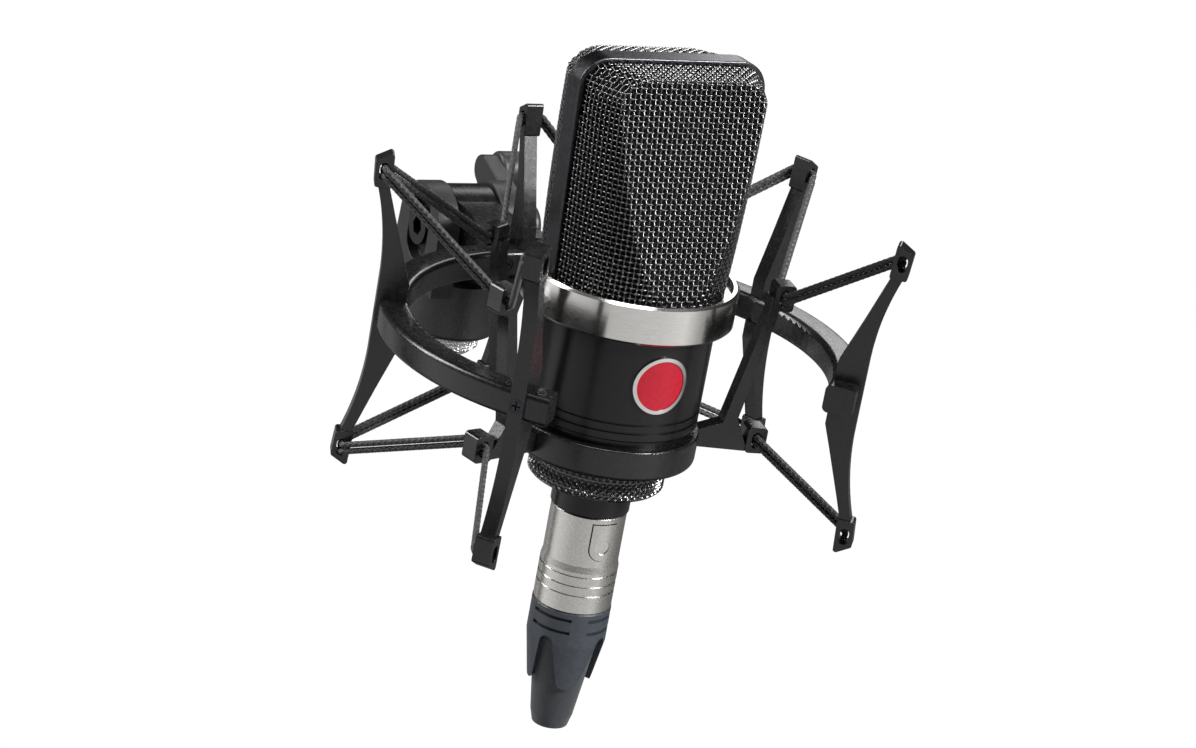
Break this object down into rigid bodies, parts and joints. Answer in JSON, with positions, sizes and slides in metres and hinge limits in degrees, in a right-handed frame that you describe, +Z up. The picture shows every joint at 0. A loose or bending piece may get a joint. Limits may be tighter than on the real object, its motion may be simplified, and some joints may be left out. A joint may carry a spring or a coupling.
{
  "type": "condenser microphone",
  "caption": "Large-diaphragm condenser microphone clamped in an elastic suspension on a tilting stand swivel, with a latching cable connector plugged in below.",
  "frame": {"origin": "centre of the stand thread's mouth, at the lower end of the thread adapter", "axes": "+Z up along the stand thread and the microphone's axis, -Y towards the microphone's front, +X to the right seen from the front"},
  "size_m": [0.1232, 0.1567, 0.1758],
  "materials": {
    "satin_black_paint": "satin black paint",
    "textured_black_paint": "fine sand-textured black paint",
    "black_wire_mesh": "glossy black woven wire",
    "black_metal_trim": "satin dark metal",
    "nickel": "satin nickel plate",
    "red_enamel": "gloss red enamel",
    "black_plastic": "moulded",
    "blue_grey_plastic": "moulded blue-grey plastic",
    "soft_black_rubber": "soft matt",
    "brass": "machined",
    "gold_film": "evaporated gold film",
    "board_green": "solder resist",
    "component_cases": "moulded",
    "insulated_wire": "insulated wire",
    "blackened_screws": "blackened steel",
    "steel": "zinc-plated steel",
    "braided_elastic": "black braided textile over rubber"
  },
  "bodies": {
    "stand_mount": {"swivel_fork": "textured_black_paint", "thread_adapter": "steel", "hinge_bolt": "steel", "friction_washers": "black_plastic"},
    "lock_nut": {"lock_nut": "nickel"},
    "clamp_lever": {"clamp_lever": "textured_black_paint", "lever_knob": "black_plastic"},
    "frame": {"frame_ring": "satin_black_paint", "frame_arm_left": "satin_black_paint", "frame_arm_front_left": "satin_black_paint", "frame_arm_front_right": "satin_black_paint", "frame_arm_right": "satin_black_paint", "frame_arm_rear": "satin_black_paint", "frame_arm_screws": "blackened_screws", "frame_tongue": "satin_black_paint", "tongue_screws": "blackened_screws", "upper_elastic": "braided_elastic", "lower_elastic": "braided_elastic"},
    "microphone": {"trim_ring": "nickel", "body_tube": "satin_black_paint", "badge_rim": "nickel", "badge_enamel": "red_enamel", "head_frame": "black_metal_trim", "head_grille_front": "black_wire_mesh", "head_grille_rear": "black_wire_mesh", "head_deck": "black_plastic", "capsule_ring": "brass", "capsule_backplate": "brass", "capsule_diaphragm": "gold_film", "capsule_saddle": "black_plastic", "capsule_leads": "insulated_wire", "chassis_posts": "brass", "circuit_board": "board_green", "board_capacitors": "component_cases", "board_transistor": "component_cases", "mic_base": "satin_black_paint", "inlet_insulator": "black_plastic", "inlet_pins": "brass", "inlet_wires": "insulated_wire", "cradle_cup": "satin_black_paint", "cradle_arm_rear_left": "satin_black_paint", "cradle_arm_front_left": "satin_black_paint", "cradle_arm_front_right": "satin_black_paint", "cradle_arm_rear_right": "satin_black_paint"},
    "retaining_nut": {"retaining_nut": "satin_black_paint"},
    "plug": {"plug_shell": "nickel", "plug_insert": "black_plastic", "plug_contacts": "brass", "cable_chuck": "black_plastic"},
    "plug_latch": {"plug_latch": "nickel"},
    "boot": {"boot_collar": "blue_grey_plastic", "boot_gland": "soft_black_rubber"}
  },
  "joints": [
    {"name": "lock_nut_turn", "type": "hinge", "parent": "stand_mount", "child": "lock_nut", "pos_m": [0, 0, 0.004], "axis": [0, 0, 1], "continuous": true},
    {"name": "clamp_lever_turn", "type": "hinge", "parent": "stand_mount", "child": "clamp_lever", "pos_m": [0.015, 0, 0.034], "axis": [1, 0, 0], "range_deg": [0, 140]},
    {"name": "frame_tilt", "type": "hinge", "parent": "stand_mount", "child": "frame", "pos_m": [0, 0, 0.034], "axis": [1, 0, 0], "range_deg": [-90, 15]},
    {"name": "suspension_bounce", "type": "slide", "parent": "frame", "child": "microphone", "axis": [0, 0, 1], "range_m": [-0.003, 0.003], "stiffness_N_per_m": 1500, "springref_m": 0.0025, "deforming": ["upper_elastic", "lower_elastic"]},
    {"name": "retaining_nut_turn", "type": "hinge", "parent": "microphone", "child": "retaining_nut", "pos_m": [0, -0.09, 0.006], "axis": [0, 0, 1], "continuous": true},
    {"name": "plug_pull", "type": "slide", "parent": "microphone", "child": "plug", "axis": [0, 0, -1], "range_m": [0, 0.016]},
    {"name": "latch_press", "type": "slide", "parent": "plug", "child": "plug_latch", "axis": [0, 1, 0], "range_m": [0, 0.0007], "stiffness_N_per_m": 900, "springref_m": -0.0004},
    {"name": "boot_turn", "type": "hinge", "parent": "plug", "child": "boot", "pos_m": [0, -0.09, -0.034], "axis": [0, 0, 1], "continuous": true}
  ]
}
